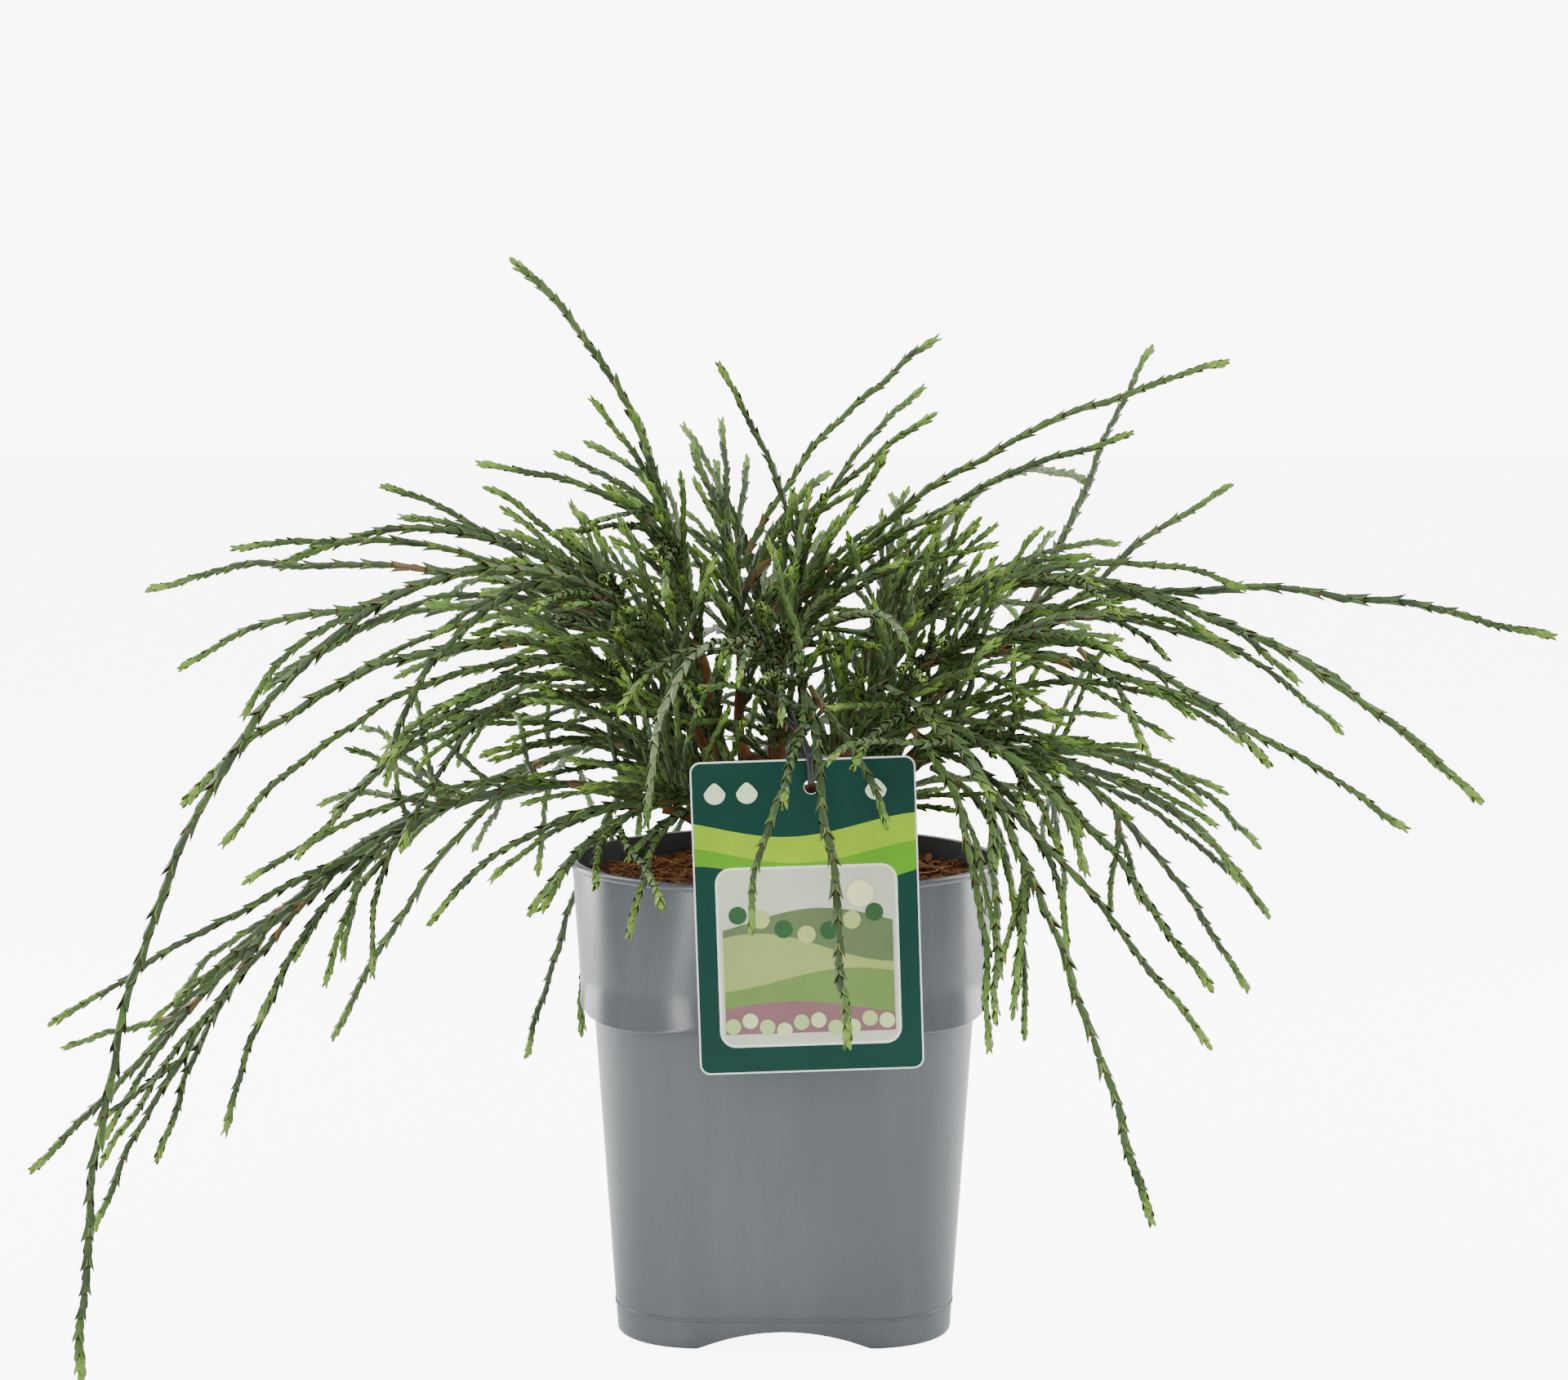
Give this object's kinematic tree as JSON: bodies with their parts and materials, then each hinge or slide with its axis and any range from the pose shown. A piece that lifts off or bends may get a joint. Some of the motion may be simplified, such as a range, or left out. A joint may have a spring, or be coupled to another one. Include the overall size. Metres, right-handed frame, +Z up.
{
  "type": "potted thread-leaf cedar",
  "caption": "Potted whipcord cedar shrub: a short trunk, arching cord-like whips in separate foliage masses, a tapered plastic nursery pot with soil, and a hanging card tag.",
  "frame": {"origin": "on the pot's axis at the plane of its feet, which is the middle of the plant's outline seen from above", "axes": "+Z up along the pot's axis, +X to the right along the widest spread of the whips, -Y towards the viewer and the card"},
  "size_m": [0.6, 0.4279, 0.4152],
  "materials": {
    "pot_plastic": "satin grey, moulded, slightly streaked",
    "soil": "loose bark and coir, rough",
    "bark": "fibrous red-brown bark",
    "foliage": "scale-leaved green shoots with lighter tips",
    "card": "printed, satin",
    "strap_plastic": "black, smooth"
  },
  "bodies": {
    "root": {"bough_back": "bark", "bough_back_left": "bark", "bough_back_left_low": "bark", "bough_back_low": "bark", "bough_back_right": "bark", "bough_back_right_low": "bark", "bough_front": "bark", "bough_front_left": "bark", "bough_front_right": "bark", "bough_left_front": "bark", "bough_left_long": "bark", "bough_left_low": "bark", "bough_left_upper": "bark", "bough_right_end": "bark", "bough_right_front": "bark", "bough_right_long": "bark", "bough_right_low": "bark", "bough_top_left": "bark", "bough_top_right": "bark", "mass_back": "foliage", "mass_back_left": "foliage", "mass_back_left_low": "foliage", "mass_back_low": "foliage", "mass_back_right": "foliage", "mass_back_right_low": "foliage", "mass_front": "foliage", "mass_front_left": "foliage", "mass_front_right": "foliage", "mass_left_front": "foliage", "mass_left_long": "foliage", "mass_left_low": "foliage", "mass_left_upper": "foliage", "mass_right_end": "foliage", "mass_right_front": "foliage", "mass_right_long": "foliage", "mass_right_low": "foliage", "mass_top": "foliage", "mass_top_left": "foliage", "mass_top_right": "foliage", "plant_tag": "card", "pot": "pot_plastic", "soil": "soil", "tag_strap": "strap_plastic", "trunk": "bark"}
  },
  "joints": []
}
